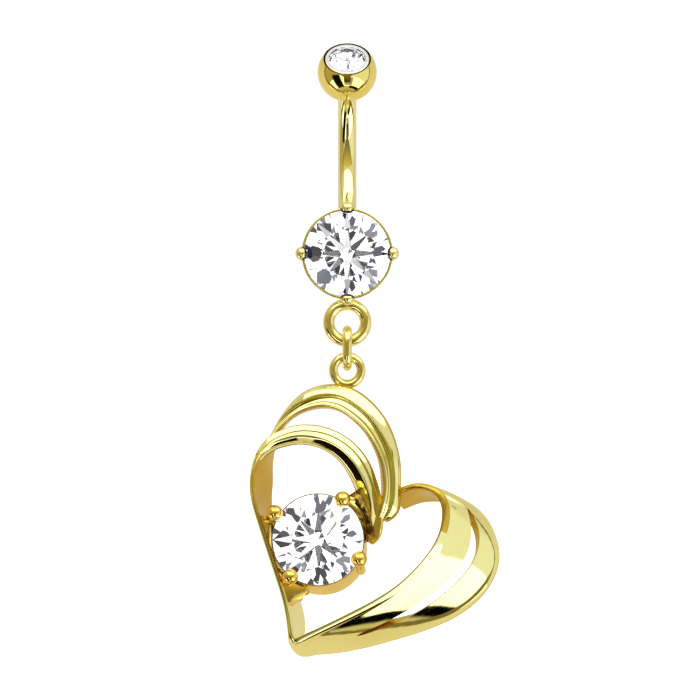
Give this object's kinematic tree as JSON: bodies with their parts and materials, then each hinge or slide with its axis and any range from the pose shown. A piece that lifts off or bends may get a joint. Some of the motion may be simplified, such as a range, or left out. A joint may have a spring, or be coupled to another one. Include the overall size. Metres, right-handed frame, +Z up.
{
  "type": "navel ring",
  "caption": "Curved navel barbell with a gem ball, a round stone in a claw basket, and a hanging openwork heart with a second round stone",
  "frame": {"origin": "middle of the curved bar on its centre line, where the ring sits in the piercing", "axes": "+Z up along the bar towards the gem ball, -Y to the front that the stones face, +X to the right when seen from the front; metres"},
  "size_m": [0.0217, 0.0074, 0.053],
  "materials": {
    "bar_metal": "polished gold plating",
    "ball_metal": "polished gold plating",
    "cup_metal": "polished bright metal",
    "heart_metal": "polished gold plating over a casting",
    "clear_stone": "faceted, polished"
  },
  "bodies": {
    "barbell": {"barbell": "bar_metal", "navel_stone": "clear_stone"},
    "ball": {"top_ball": "ball_metal", "ball_cup": "cup_metal", "top_stone": "clear_stone"},
    "link": {"link": "bar_metal"},
    "pendant": {"heart": "heart_metal", "heart_stone": "clear_stone"}
  },
  "joints": [
    {"name": "ball_turn", "type": "hinge", "parent": "barbell", "child": "ball", "pos_m": [0, -0.00383, 0.00684], "axis": [0, -0.7071, 0.7071], "continuous": true},
    {"name": "link_swing", "type": "hinge", "parent": "barbell", "child": "link", "pos_m": [0, -0.004, -0.01631], "axis": [1, 0, 0], "range_deg": [-60, 60]},
    {"name": "pendant_swing", "type": "hinge", "parent": "link", "child": "pendant", "pos_m": [0, -0.004, -0.01848], "axis": [0, 1, 0], "range_deg": [-60, 60]}
  ]
}
